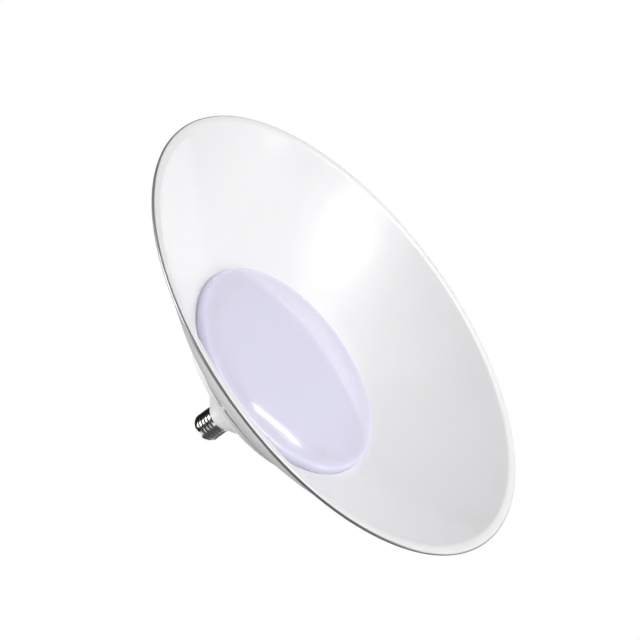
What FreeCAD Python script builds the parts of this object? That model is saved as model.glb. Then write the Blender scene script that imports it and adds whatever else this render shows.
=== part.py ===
import FreeCAD, Part
import math
import os
import re
import Sketcher

# LED high bay lamp with a screw cap and a wide reflector shade, in millimetres.
# Everything is turned about Z. Pieces of the lamp body are drawn with their height
# counted from the rim plane of the shade, and then lowered, so that the seat of the
# screw cap lies in the plane Z = 0. Pieces of the cap are drawn from that seat.

SIZES = {
    # Shade: one spun sheet with a flat lip, a rolled edge and a flat seat round its hole
    "rim_radius": 205.0,
    "lip_width": 8.0,
    "roll_radius": 2.0,
    "roll_tail": 1.4,
    "shade_sheet": 1.0,
    "seat_height": 77.8,
    "neck_margin": 2.2,
    "shade_wall_radius": 352.0,
    "seat_reach": 12.0,
    # Diffuser: a shallow opal dish under the seat, with snap legs through the hole
    "diffuser_gap": 1.0,
    "diffuser_depth": 7.8,
    "diffuser_crown": 3.8,
    "diffuser_corner": 6.0,
    "diffuser_wall": 1.6,
    "leg_count": 6,
    "leg_width": 10.0,
    "leg_sheet": 1.6,
    "leg_gap": 1.2,
    "barb_reach": 0.9,
    "barb_gap": 0.2,
    "barb_height": 3.2,
    "barb_flat": 0.4,
    # Spacer ring between the shade and the housing
    "drum_radius": 97.0,
    "ring_height": 3.8,
    "ring_width": 9.0,
    "vent_gap": 1.0,
    "tab_count": 6,
    "tab_width": 3.0,
    "tab_sheet": 1.4,
    "tab_drop": 2.2,
    "tab_gap": 0.3,
    "cut_past": 1.0,
    # Housing: drum, funnel back, collar and the spigot that carries the screw shell
    "drum_height": 7.0,
    "drum_corner": 2.4,
    "housing_wall": 2.4,
    "back_radius": 300.0,
    "collar_height": 159.5,
    "collar_radius": 14.0,
    "collar_round": 0.8,
    "collar_web": 4.5,
    "spigot_height": 16.0,
    "spigot_wall": 2.6,
    "spigot_gap": 0.3,
    # Fixings of the shade and of the light engine
    "shade_screw_inset": 4.5,
    "shade_screw_count": 3,
    "shade_boss_radius": 3.4,
    "plate_screw_count": 3,
    "plate_boss_radius": 4.0,
    "board_screw_count": 4,
    "pilot_radius": 1.25,
    "pilot_depth": 9.0,
    "screw_radius": 1.2,
    "screw_hole_radius": 1.7,
    "screw_head_radius": 2.8,
    "screw_head_height": 1.9,
    # Heat sink plate, LED board and LEDs
    "plate_lift": 1.2,
    "plate_sheet": 1.5,
    "plate_gap": 1.9,
    "plate_rim": 5.0,
    "lead_hole_radius": 5.0,
    "board_sheet": 1.6,
    "board_margin": 3.2,
    "board_centre_radius": 7.5,
    "head_clearance": 1.2,
    "led_length": 3.5,
    "led_width": 2.8,
    "led_height": 0.8,
    "led_ring_count": 4,
    "first_led_ring": 22.0,
    "led_margin": 8.0,
    "leds_per_ring": 8,
    "terminal_length": 6.0,
    "terminal_width": 5.0,
    "terminal_height": 2.6,
    "terminal_place": 9.0,
    # Rubber grommet in the lead hole
    "grommet_flange": 1.5,
    "grommet_lip": 1.1,
    "grommet_bore_radius": 3.4,
    # Driver board on its supports
    "driver_radius": 42.0,
    "support_height": 10.0,
    "support_radius": 3.0,
    "support_pin_radius": 1.6,
    "support_pin_gap": 0.1,
    "support_ring": 36.0,
    "support_count": 3,
    "support_cap_radius": 2.6,
    "support_cap_height": 1.5,
    # Parts on the driver board: places from its centre, and sizes
    "can_lip": 0.6,
    "can_crimp_height": 2.7,
    "can_crimp_depth": 0.5,
    "mould_edge": 0.5,
    "input_capacitor_x": 14.0,
    "input_capacitor_y": -14.0,
    "input_capacitor_radius": 6.25,
    "input_capacitor_height": 22.0,
    "output_capacitor_x": -6.0,
    "output_capacitor_y": -24.0,
    "output_capacitor_radius": 5.0,
    "output_capacitor_height": 17.0,
    "choke_x": -24.0,
    "choke_y": -16.0,
    "choke_radius": 4.0,
    "choke_height": 10.0,
    "film_capacitor_x": 21.0,
    "film_capacitor_y": 6.0,
    "film_capacitor_length": 7.0,
    "film_capacitor_width": 13.0,
    "film_capacitor_height": 12.0,
    "bridge_rectifier_x": 8.0,
    "bridge_rectifier_y": 8.0,
    "bridge_rectifier_length": 8.0,
    "bridge_rectifier_width": 6.4,
    "bridge_rectifier_height": 2.6,
    "driver_chip_x": 2.0,
    "driver_chip_y": -6.0,
    "driver_chip_length": 5.0,
    "driver_chip_width": 4.0,
    "driver_chip_height": 1.6,
    "varistor_x": 11.0,
    "varistor_y": 24.0,
    "varistor_radius": 5.0,
    "varistor_thickness": 4.0,
    "fuse_x": -15.0,
    "fuse_y": 26.0,
    "fuse_radius": 1.8,
    "fuse_length": 10.0,
    "part_gap": 0.2,
    "transformer_x": -14.0,
    "transformer_y": 4.0,
    "transformer_base_length": 18.0,
    "transformer_base_width": 16.0,
    "transformer_base_height": 2.0,
    "core_length": 20.0,
    "core_depth": 8.0,
    "core_height": 16.0,
    "core_yoke": 3.0,
    "core_leg": 5.4,
    "winding_gap": 0.3,
    # Screw cap
    "shell_radius": 13.1,
    "shell_sheet": 0.4,
    "shell_straight": 18.3,
    "shell_height": 22.3,
    "shell_mouth_radius": 9.2,
    "shell_mouth_edge": 0.6,
    "shoulder_radius": 4.2,
    "thread_pitch": 3.629,
    "thread_depth": 1.0,
    "groove_radius": 1.25,
    "first_groove": 4.0,
    "groove_count": 4,
    "insulator_top": 25.2,
    "insulator_top_radius": 5.2,
    "insulator_flange": 0.8,
    "insulator_foot": 2.4,
    "flange_thickness": 1.6,
    "mouth_gap": 0.2,
    "lead_bore_radius": 1.2,
    "contact_radius": 4.8,
    "contact_sheet": 0.5,
    "contact_dome_radius": 2.4,
    "contact_dome_foot": 1.0,
    "cap_height": 27.0,
    # Leads
    "lead_radius": 0.8,
    "lead_bend": 4.0,
    "led_lead_radius": 0.7,
    "led_lead_bend": 2.0,
    "led_lead_place": 1.6,
    "lead_turn_rise": 30.1,
    "lead_pad_x": 2.0,
    "lead_pad_y": 34.0,
    "neutral_x": -6.0,
}

doc = FreeCAD.newDocument("high_bay_lamp")
sheet = doc.addObject("Spreadsheet::Sheet", "Sizes")
for row, (name, size) in enumerate(SIZES.items(), start=1):
    sheet.set(f"A{row}", name)
    sheet.set(f"B{row}", str(size))
    sheet.setAlias(f"B{row}", name)
doc.recompute()

# Heights above the rim plane, as sums of the sheet's sizes
SEAT_TOP = "(seat_height + shade_sheet)"
RING_TOP = f"({SEAT_TOP} + ring_height)"
DRUM_BOTTOM = f"({RING_TOP} + vent_gap)"
DRUM_TOP = f"({DRUM_BOTTOM} + drum_height)"
PLATE_BOTTOM = f"({DRUM_BOTTOM} + plate_lift)"
PLATE_TOP = f"({PLATE_BOTTOM} + plate_sheet)"
LED_BOARD_BOTTOM = f"({PLATE_BOTTOM} - board_sheet)"
DRIVER_BOTTOM = f"({PLATE_TOP} + support_height)"
DRIVER_TOP = f"({DRIVER_BOTTOM} + board_sheet)"

# Radii that follow from a neighbour and a clearance
NECK_RADIUS = "(drum_radius + neck_margin)"
SHADE_HOLE = "(drum_radius - seat_reach)"
SHADE_SCREWS = "(drum_radius - shade_screw_inset)"
PLATE_RADIUS = f"({SHADE_SCREWS} - shade_boss_radius - plate_gap)"
LED_BOARD_RADIUS = f"({PLATE_RADIUS} - board_margin)"
LED_RING_STEP = f"(({LED_BOARD_RADIUS} - led_margin - first_led_ring) / (led_ring_count - 1))"
BOARD_SCREWS = f"(first_led_ring + 1.5 * {LED_RING_STEP})"
PLATE_SCREWS = f"(first_led_ring + 2.5 * {LED_RING_STEP})"
PIN_HOLE = "(support_pin_radius + support_pin_gap)"
DIFFUSER_RADIUS = f"({NECK_RADIUS} - diffuser_gap)"
LEG_RADIUS = f"({SHADE_HOLE} - leg_gap)"
SHELL_BORE = "(shell_radius - thread_depth - shell_sheet)"
SPIGOT_RADIUS = f"({SHELL_BORE} - spigot_gap)"
SPIGOT_BORE = f"({SPIGOT_RADIUS} - spigot_wall)"

RIM_PLANE = "-collar_height"
CAP_SEAT = "0"


def bound(words):
    """An expression over the sheet, from one in plain size names."""
    return re.sub(r"[a-z_]+", lambda m: f"Sizes.{m.group()}" if m.group() in SIZES else m.group(), words)


def value(words):
    """The number that such an expression has now."""
    return float(sheet.evalExpression(bound(words)))


class Free:
    """A coordinate that the other constraints decide, with a first guess."""

    def __init__(self, guess):
        self.guess = guess


def guess(size):
    return size.guess if isinstance(size, Free) else value(size)


def vector(x, y, z=0.0):
    return FreeCAD.Vector(x, y, z)


def new_body(label, plane=RIM_PLANE, x="0", y="0", loose_solids=False):
    body = doc.addObject("PartDesign::Body", label)
    body.Label = label
    body.AllowCompound = loose_solids
    for axis, place in (("x", x), ("y", y), ("z", plane)):
        if place != "0":
            body.setExpression(f"Placement.Base.{axis}", bound(place))
    return body


def origin_feature(body, role):
    return next(item for item in body.Origin.OriginFeatures if item.Role == role)


def new_sketch(body, name, plane="XZ_Plane", lift=None):
    sketch = body.newObject("Sketcher::SketchObject", name)
    sketch.AttachmentSupport = [(origin_feature(body, plane), "")]
    sketch.MapMode = "FlatFace"
    if lift:
        sketch.setExpression("AttachmentOffset.Base.z", bound(lift))
    return sketch


def fix(sketch, kind, edge, point, size):
    """A distance or radius that follows the sheet."""
    where = (edge, point, value(size)) if point else (edge, value(size))
    index = sketch.addConstraint(Sketcher.Constraint(kind, *where))
    sketch.setExpression(f"Constraints[{index}]", bound(size))


def place_point(sketch, edge, point, x, y):
    if x == "0":
        sketch.addConstraint(Sketcher.Constraint("PointOnObject", edge, point, -2))
    elif not isinstance(x, Free):
        fix(sketch, "DistanceX", edge, point, x)
    if y == "0":
        sketch.addConstraint(Sketcher.Constraint("PointOnObject", edge, point, -1))
    elif not isinstance(y, Free):
        fix(sketch, "DistanceY", edge, point, y)


def arc_between(start, end, radius, side):
    """A minor arc; side is +1 where its centre lies left of the way from start to end."""
    middle = ((start[0] + end[0]) / 2, (start[1] + end[1]) / 2)
    dx, dy = end[0] - start[0], end[1] - start[1]
    chord = math.hypot(dx, dy)
    rise = math.sqrt(max(radius**2 - (chord / 2) ** 2, 0.0))
    centre = (middle[0] - side * dy / chord * rise, middle[1] + side * dx / chord * rise)
    angles = [math.atan2(p[1] - centre[1], p[0] - centre[0]) for p in (start, end)]
    if side < 0:
        angles.reverse()
    circle = Part.Circle(vector(*centre), vector(0, 0, 1), radius)
    return Part.ArcOfCircle(circle, angles[0], angles[1])


def outline(sketch, corners, same_centre=()):
    """A closed outline through corners (x, y) or (x, y, arc), where the arc to the next
    corner is ("radius", side, size) or, for a half turn, ("half", side, x of its centre).
    same_centre pairs arcs that are parallel."""
    spots = [(guess(corner[0]), guess(corner[1])) for corner in corners]
    ends = []
    for index, corner in enumerate(corners):
        start, end = spots[index], spots[(index + 1) % len(spots)]
        if len(corner) == 2:
            sketch.addGeometry(Part.LineSegment(vector(*start), vector(*end)), False)
            ends.append((1, 2))
            continue
        kind, side, size = corner[2]
        half_chord = math.dist(start, end) / 2
        radius = value(size) if kind == "radius" else half_chord
        sketch.addGeometry(arc_between(start, end, radius, side), False)
        ends.append((1, 2) if side > 0 else (2, 1))
    for index, corner in enumerate(corners):
        before = index - 1 if index else len(corners) - 1
        joined = Sketcher.Constraint("Coincident", before, ends[before][1], index, ends[index][0])
        sketch.addConstraint(joined)
    for index, corner in enumerate(corners):
        place_point(sketch, index, ends[index][0], corner[0], corner[1])
        if len(corner) == 3 and corner[2][0] == "radius":
            if index not in [pair[1] for pair in same_centre]:
                fix(sketch, "Radius", index, None, corner[2][2])
        elif len(corner) == 3:
            fix(sketch, "DistanceX", index, 3, corner[2][2])
    for first, second in same_centre:
        sketch.addConstraint(Sketcher.Constraint("Coincident", first, 3, second, 3))
        fix(sketch, "Radius", second, None, corners[second][2][2])


def circles(sketch, *rounds):
    """Circles given as (x, y, radius)."""
    for x, y, radius in rounds:
        spot = vector(value(x), value(y))
        edge = sketch.addGeometry(Part.Circle(spot, vector(0, 0, 1), value(radius)), False)
        if x == "0" and y == "0":
            sketch.addConstraint(Sketcher.Constraint("Coincident", edge, 3, -1, 1))
        else:
            place_point(sketch, edge, 3, x, y)
        fix(sketch, "Radius", edge, None, radius)


def rectangle(sketch, left, right, bottom, top):
    outline(sketch, [(left, bottom), (right, bottom), (right, top), (left, top)])


def turned(body, name, corners, same_centre=()):
    """A solid turned about Z from its half section."""
    sketch = new_sketch(body, f"{name}_section")
    outline(sketch, corners, same_centre)
    feature = body.newObject("PartDesign::Revolution", name)
    feature.Profile = sketch
    feature.ReferenceAxis = (sketch, ["V_Axis"])
    feature.Angle = 360
    doc.recompute()
    return feature


def padded(body, name, sketch, length, symmetric=False):
    pad = body.newObject("PartDesign::Pad", name)
    pad.Profile = sketch
    if symmetric:
        pad.SideType = "Symmetric"
    if length == "to the next face":
        pad.Type = "UpToFirst"
    else:
        pad.setExpression("Length", bound(length))
    doc.recompute()
    return pad


def pocketed(body, name, sketch, depth, upwards=False):
    """A cut from the sketch, down unless it goes upwards; depth None goes right through."""
    before = body.Shape.Volume
    pocket = body.newObject("PartDesign::Pocket", name)
    pocket.Profile = sketch
    pocket.Reversed = upwards
    if depth is None:
        pocket.Type = "ThroughAll"
    else:
        pocket.setExpression("Length", bound(depth))
    doc.recompute()
    if not body.Shape.Volume < before:
        raise RuntimeError(f"{body.Label}: {name} cuts nothing")
    return pocket


def ringed(body, name, features, count):
    """Equal copies of features round Z."""
    pattern = body.newObject("PartDesign::PolarPattern", name)
    pattern.Originals = features
    pattern.Axis = (origin_feature(body, "Z_Axis"), [""])
    pattern.Angle = 360
    pattern.setExpression("Occurrences", bound(count))
    body.Tip = pattern
    doc.recompute()
    return pattern


def round_holes(body, name, lift, ring, radius, count, depth=None, upwards=False):
    sketch = new_sketch(body, f"{name}_circle", "XY_Plane", lift)
    circles(sketch, (ring, "0", radius))
    pocket = pocketed(body, name, sketch, depth, upwards)
    ringed(body, f"{name}_ring", [pocket], count)


def shade():
    body = new_body("shade")
    crease = "(rim_radius - lip_width)"
    roll_centre = "(rim_radius - roll_radius)"
    tail = f"({roll_centre} - roll_tail)"
    wall_foot = Free(value(crease) + value("shade_sheet") / 2)
    wall_head = Free(value(NECK_RADIUS) + value("shade_sheet") / 2)
    turned(body, "spun_sheet", [
        (crease, "0"),
        (roll_centre, "0", ("half", 1, roll_centre)),
        (roll_centre, "2 * roll_radius"),
        (tail, "2 * roll_radius"),
        (tail, "2 * roll_radius - shade_sheet"),
        (roll_centre, "2 * roll_radius - shade_sheet", ("half", -1, roll_centre)),
        (roll_centre, "shade_sheet"),
        (wall_foot, "shade_sheet", ("radius", 1, "shade_wall_radius + shade_sheet")),
        (wall_head, SEAT_TOP),
        (SHADE_HOLE, SEAT_TOP),
        (SHADE_HOLE, "seat_height"),
        (NECK_RADIUS, "seat_height", ("radius", -1, "shade_wall_radius")),
    ], same_centre=[(11, 7)])
    round_holes(body, "screw_holes", SEAT_TOP, SHADE_SCREWS, "screw_hole_radius", "shade_screw_count",
                depth="2 * shade_sheet")


def diffuser():
    body = new_body("diffuser")
    face_edge = "(seat_height - diffuser_depth)"
    face_centre = f"({face_edge} - diffuser_crown)"
    flat_radius = f"({DIFFUSER_RADIUS} - diffuser_corner)"
    inner_radius = f"({DIFFUSER_RADIUS} - diffuser_wall)"
    inner_flat = f"({inner_radius} - diffuser_corner)"
    crown = f"(({flat_radius}) ^ 2 + diffuser_crown ^ 2) / (2 * diffuser_crown)"
    inner_crown = f"(({inner_flat}) ^ 2 + diffuser_crown ^ 2) / (2 * diffuser_crown)"
    turned(body, "dish", [
        ("0", face_centre, ("radius", 1, crown)),
        (flat_radius, face_edge, ("radius", 1, "diffuser_corner")),
        (DIFFUSER_RADIUS, f"{face_edge} + diffuser_corner"),
        (DIFFUSER_RADIUS, "seat_height"),
        (inner_radius, "seat_height"),
        (inner_radius, f"{face_edge} + diffuser_wall + diffuser_corner", ("radius", -1, "diffuser_corner")),
        (inner_flat, f"{face_edge} + diffuser_wall", ("radius", -1, inner_crown)),
        ("0", f"{face_centre} + diffuser_wall"),
    ])
    leg_inner = f"({LEG_RADIUS} - leg_sheet)"
    barb_foot = f"({SEAT_TOP} + barb_gap)"
    sketch = new_sketch(body, "leg_side")
    outline(sketch, [
        (leg_inner, face_edge),
        (LEG_RADIUS, face_edge),
        (LEG_RADIUS, barb_foot),
        (f"{SHADE_HOLE} + barb_reach", barb_foot),
        (f"{LEG_RADIUS} - barb_flat", f"{barb_foot} + barb_height"),
        (leg_inner, f"{barb_foot} + barb_height"),
    ])
    leg = padded(body, "leg", sketch, "leg_width", symmetric=True)
    ringed(body, "legs", [leg], "leg_count")


def spacer_ring():
    body = new_body("spacer_ring")
    sketch = new_sketch(body, "ring_circles", "XY_Plane", SEAT_TOP)
    circles(sketch, ("0", "0", "drum_radius"), ("0", "0", "drum_radius - ring_width"))
    padded(body, "ring", sketch, "ring_height")
    round_holes(body, "screw_holes", RING_TOP, SHADE_SCREWS, "screw_hole_radius", "shade_screw_count")
    notch = new_sketch(body, "notch_outline", "XY_Plane", RING_TOP)
    rectangle(notch, "drum_radius - tab_sheet - tab_gap", "drum_radius + cut_past",
              "-tab_width / 2 - tab_gap", "tab_width / 2 + tab_gap")
    cut = pocketed(body, "notch", notch, "tab_drop")
    ringed(body, "notches", [cut], "tab_count")


def housing():
    body = new_body("housing")
    bore_foot = "(collar_height - collar_web)"
    roof_edge = f"({DRUM_TOP} - housing_wall)"
    turned(body, "shell", [
        ("drum_radius", DRUM_BOTTOM),
        ("drum_radius", f"{DRUM_TOP} - drum_corner", ("radius", 1, "drum_corner")),
        ("drum_radius - drum_corner", DRUM_TOP, ("radius", -1, "back_radius")),
        ("collar_radius", "collar_height - collar_round", ("radius", 1, "collar_round")),
        ("collar_radius - collar_round", "collar_height"),
        (SPIGOT_RADIUS, "collar_height"),
        (SPIGOT_RADIUS, "collar_height + spigot_height"),
        (SPIGOT_BORE, "collar_height + spigot_height"),
        (SPIGOT_BORE, bore_foot),
        (Free(value("collar_radius")), bore_foot, ("radius", 1, "back_radius + housing_wall")),
        (Free(value("drum_radius - 2 * housing_wall")), roof_edge),
        ("drum_radius - housing_wall", roof_edge),
        ("drum_radius - housing_wall", DRUM_BOTTOM),
    ], same_centre=[(2, 9)])
    for name, start, ring, radius, count in (
        ("shade_boss", RING_TOP, SHADE_SCREWS, "shade_boss_radius", "shade_screw_count"),
        ("plate_boss", PLATE_TOP, PLATE_SCREWS, "plate_boss_radius", "plate_screw_count"),
    ):
        sketch = new_sketch(body, f"{name}_circle", "XY_Plane", start)
        circles(sketch, (ring, "0", radius))
        boss = padded(body, name, sketch, "to the next face")
        ringed(body, f"{name}_ring", [boss], count)
    round_holes(body, "shade_pilots", RING_TOP, SHADE_SCREWS, "pilot_radius", "shade_screw_count",
                depth="drum_height - housing_wall / 2", upwards=True)
    round_holes(body, "plate_pilots", PLATE_TOP, PLATE_SCREWS, "pilot_radius", "plate_screw_count",
                depth="pilot_depth", upwards=True)
    tab = new_sketch(body, "tab_outline", "XY_Plane", f"{RING_TOP} - tab_drop + tab_gap")
    rectangle(tab, "drum_radius - tab_sheet", "drum_radius - tab_gap / 2", "-tab_width / 2", "tab_width / 2")
    pad = padded(body, "tab", tab, "tab_drop - tab_gap + vent_gap + drum_corner")
    ringed(body, "tabs", [pad], "tab_count")


def heat_sink():
    body = new_body("heat_sink")
    pan_wall = f"({PLATE_RADIUS} - plate_sheet)"
    turned(body, "pan", [
        ("lead_hole_radius", PLATE_BOTTOM),
        (pan_wall, PLATE_BOTTOM, ("radius", 1, "plate_sheet")),
        (PLATE_RADIUS, f"{PLATE_BOTTOM} + plate_sheet"),
        (PLATE_RADIUS, f"{PLATE_BOTTOM} + plate_rim"),
        (pan_wall, f"{PLATE_BOTTOM} + plate_rim"),
        (pan_wall, PLATE_TOP),
        ("lead_hole_radius", PLATE_TOP),
    ])
    round_holes(body, "plate_holes", PLATE_TOP, PLATE_SCREWS, "screw_hole_radius", "plate_screw_count")
    round_holes(body, "board_holes", PLATE_TOP, BOARD_SCREWS, "pilot_radius", "board_screw_count")
    round_holes(body, "support_holes", PLATE_TOP, "support_ring", PIN_HOLE, "support_count")


def led_board():
    body = new_body("led_board")
    sketch = new_sketch(body, "board_circles", "XY_Plane", LED_BOARD_BOTTOM)
    circles(sketch, ("0", "0", LED_BOARD_RADIUS), ("0", "0", "board_centre_radius"))
    padded(body, "board", sketch, "board_sheet")
    round_holes(body, "board_holes", PLATE_BOTTOM, BOARD_SCREWS, "screw_hole_radius", "board_screw_count")
    round_holes(body, "head_holes", PLATE_BOTTOM, PLATE_SCREWS, "screw_head_radius + head_clearance",
                "plate_screw_count")


def leds():
    body = new_body("leds", loose_solids=True)
    for ring in range(int(value("led_ring_count"))):
        radius = f"(first_led_ring + {ring} * {LED_RING_STEP})"
        sketch = new_sketch(body, f"led_outline_{ring + 1}", "XY_Plane", f"{LED_BOARD_BOTTOM} - led_height")
        rectangle(sketch, f"{radius} - led_length / 2", f"{radius} + led_length / 2",
                  "-led_width / 2", "led_width / 2")
        led = padded(body, f"led_{ring + 1}", sketch, "led_height")
        ringed(body, f"led_ring_{ring + 1}", [led], f"leds_per_ring * {ring + 1}")


def screws(label, ring, count, seat, reach):
    """Pan head screws that point up, with their heads under the height seat."""
    body = new_body(label, loose_solids=True)
    head_sketch = new_sketch(body, "head_circle", "XY_Plane", f"{seat} - screw_head_height")
    circles(head_sketch, (ring, "0", "screw_head_radius"))
    head = padded(body, "head", head_sketch, "screw_head_height")
    shank_sketch = new_sketch(body, "shank_circle", "XY_Plane", seat)
    circles(shank_sketch, (ring, "0", "screw_radius"))
    shank = padded(body, "shank", shank_sketch, reach)
    ringed(body, "set", [head, shank], count)


def grommet():
    body = new_body("lead_grommet")
    flange = "(lead_hole_radius + grommet_flange)"
    turned(body, "ring", [
        ("grommet_bore_radius", f"{PLATE_BOTTOM} - grommet_lip"),
        (flange, f"{PLATE_BOTTOM} - grommet_lip"),
        (flange, PLATE_BOTTOM),
        ("lead_hole_radius", PLATE_BOTTOM),
        ("lead_hole_radius", PLATE_TOP),
        (flange, PLATE_TOP),
        (flange, f"{PLATE_TOP} + grommet_lip"),
        ("grommet_bore_radius", f"{PLATE_TOP} + grommet_lip"),
    ])


def board_terminals():
    body = new_body("board_terminals", loose_solids=True)
    sketch = new_sketch(body, "block_outline", "XY_Plane", f"{LED_BOARD_BOTTOM} - terminal_height")
    rectangle(sketch, "terminal_place", "terminal_place + terminal_length",
              "-terminal_width / 2", "terminal_width / 2")
    block = padded(body, "block", sketch, "terminal_height")
    ringed(body, "pair", [block], "2")


def board_supports():
    body = new_body("board_supports", loose_solids=True)
    features = []
    for name, start, length, radius in (
        ("lower_pin", PLATE_BOTTOM, "plate_sheet", "support_pin_radius"),
        ("pillar", PLATE_TOP, "support_height", "support_radius"),
        ("upper_pin", DRIVER_BOTTOM, "board_sheet", "support_pin_radius"),
        ("cap", DRIVER_TOP, "support_cap_height", "support_cap_radius"),
    ):
        sketch = new_sketch(body, f"{name}_circle", "XY_Plane", start)
        circles(sketch, ("support_ring", "0", radius))
        features.append(padded(body, name, sketch, length))
    ringed(body, "set", features, "support_count")


def driver_board():
    body = new_body("driver_board")
    sketch = new_sketch(body, "board_circle", "XY_Plane", DRIVER_BOTTOM)
    circles(sketch, ("0", "0", "driver_radius"))
    padded(body, "board", sketch, "board_sheet")
    round_holes(body, "support_holes", DRIVER_TOP, "support_ring", PIN_HOLE, "support_count")


def on_driver(label, name, lift="0"):
    """A body that stands on the driver board at the place that the sheet gives."""
    return new_body(label, f"{DRIVER_TOP} - collar_height + {lift}", f"{name}_x", f"{name}_y")


def can(label):
    """A round can that stands on the driver board, with a crimp and a recessed top."""
    body = on_driver(label, label)
    radius, height = f"{label}_radius", f"{label}_height"
    turned(body, "can", [
        ("0", "0"),
        (radius, "0"),
        (radius, "can_crimp_height - can_crimp_depth"),
        (f"{radius} - can_crimp_depth", "can_crimp_height"),
        (radius, "can_crimp_height + can_crimp_depth"),
        (radius, f"{height} - can_lip"),
        (f"{radius} - can_lip", height),
        (f"{radius} - 2 * can_lip", height),
        (f"{radius} - 2 * can_lip", f"{height} - can_lip / 2"),
        ("0", f"{height} - can_lip / 2"),
    ])


def moulded_block(label):
    """A moulded block on the driver board, with its top edges rounded."""
    body = on_driver(label, label)
    length, width = f"{label}_length", f"{label}_width"
    sketch = new_sketch(body, "foot", "XY_Plane")
    rectangle(sketch, f"-{length} / 2", f"{length} / 2", f"-{width} / 2", f"{width} / 2")
    pad = padded(body, "mould", sketch, f"{label}_height")
    faces = pad.Shape.Faces
    top = max(range(len(faces)), key=lambda index: faces[index].CenterOfMass.z)
    rounding = body.newObject("PartDesign::Fillet", "edges")
    rounding.Base = (pad, [f"Face{top + 1}"])
    rounding.setExpression("Radius", bound("mould_edge"))
    doc.recompute()


def lying_disc(label, name, length, plane):
    """A round part on its side, just above the driver board."""
    body = on_driver(label, name, f"{name}_radius + part_gap")
    sketch = new_sketch(body, "side_circle", plane)
    circles(sketch, ("0", "0", f"{name}_radius"))
    padded(body, "disc", sketch, length, symmetric=True)


def transformer():
    base = on_driver("transformer_base", "transformer")
    sketch = new_sketch(base, "base_outline", "XY_Plane")
    half_length, half_width = "transformer_base_length / 2", "transformer_base_width / 2"
    rectangle(sketch, f"-{half_length}", half_length, f"-{half_width}", half_width)
    padded(base, "base", sketch, "transformer_base_height")

    core = on_driver("transformer_core", "transformer", "transformer_base_height")
    sketch = new_sketch(core, "core_front")
    rectangle(sketch, "-core_length / 2", "core_length / 2", "0", "core_height")
    padded(core, "core", sketch, "core_depth", symmetric=True)
    for side, near, far in (
        ("left", "-core_length / 2 + core_yoke", "-core_leg / 2"),
        ("right", "core_leg / 2", "core_length / 2 - core_yoke"),
    ):
        window = new_sketch(core, f"{side}_window_outline")
        rectangle(window, near, far, "core_yoke", "core_height - core_yoke")
        before = core.Shape.Volume
        cut = core.newObject("PartDesign::Pocket", f"{side}_window")
        cut.Profile = window
        cut.SideType = "Symmetric"
        cut.setExpression("Length", bound("core_depth + cut_past"))
        doc.recompute()
        if not core.Shape.Volume < before:
            raise RuntimeError("the core's window cuts nothing")

    winding = on_driver("transformer_winding", "transformer",
                        "transformer_base_height + core_yoke + winding_gap")
    sketch = new_sketch(winding, "winding_outline", "XY_Plane")
    reach = "(core_length / 2 - core_yoke - winding_gap)"
    depth = "(core_depth / 2 + core_length / 2 - core_yoke - core_leg / 2)"
    rectangle(sketch, f"-{reach}", reach, f"-{depth}", depth)
    padded(winding, "coil", sketch, "core_height - 2 * core_yoke - 2 * winding_gap")
    hole = new_sketch(winding, "leg_outline", "XY_Plane", "core_height - 2 * core_yoke - 2 * winding_gap")
    leg, half_depth = "(core_leg / 2 + winding_gap)", "(core_depth / 2 + winding_gap)"
    rectangle(hole, f"-{leg}", leg, f"-{half_depth}", half_depth)
    pocketed(winding, "leg_hole", hole, None)


def screw_shell():
    body = new_body("screw_shell", CAP_SEAT)
    turned(body, "cup", [
        (SHELL_BORE, "0"),
        ("shell_radius", "0"),
        ("shell_radius", "shell_straight", ("radius", 1, "shoulder_radius")),
        ("shell_mouth_radius", "shell_height"),
        ("shell_mouth_radius", "shell_height - shell_mouth_edge"),
        (SHELL_BORE, "shell_straight - shell_sheet"),
    ])
    sketch = new_sketch(body, "groove_circle")
    circles(sketch, ("shell_radius - thread_depth + groove_radius", "first_groove", "groove_radius"))
    groove = body.newObject("PartDesign::Groove", "thread_groove")
    groove.Profile = sketch
    groove.ReferenceAxis = (sketch, ["V_Axis"])
    groove.Angle = 360
    doc.recompute()
    pattern = body.newObject("PartDesign::LinearPattern", "thread_grooves")
    pattern.Originals = [groove]
    pattern.Direction = (origin_feature(body, "Z_Axis"), [""])
    pattern.setExpression("Length", bound("thread_pitch * (groove_count - 1)"))
    pattern.setExpression("Occurrences", bound("groove_count"))
    body.Tip = pattern
    doc.recompute()


def cap_insulator():
    body = new_body("cap_insulator", CAP_SEAT)
    neck = "(shell_mouth_radius - mouth_gap)"
    foot = "(shell_height - insulator_foot - mouth_gap)"
    turned(body, "plug", [
        ("lead_bore_radius", foot),
        (f"{neck} + insulator_flange", foot),
        (neck, f"{foot} + flange_thickness"),
        (neck, "shell_height + mouth_gap"),
        ("insulator_top_radius", "insulator_top"),
        ("lead_bore_radius", "insulator_top"),
    ])


def centre_contact():
    body = new_body("centre_contact", CAP_SEAT)
    dome_foot = "(insulator_top + contact_dome_foot)"
    rise = f"(cap_height - {dome_foot})"
    dome = f"(contact_dome_radius ^ 2 + {rise} ^ 2) / (2 * {rise})"
    turned(body, "button", [
        ("0", "insulator_top"),
        ("contact_radius", "insulator_top"),
        ("contact_radius", "insulator_top + contact_sheet"),
        ("contact_dome_radius", dome_foot, ("radius", 1, dome)),
        ("0", "cap_height"),
    ])


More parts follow.
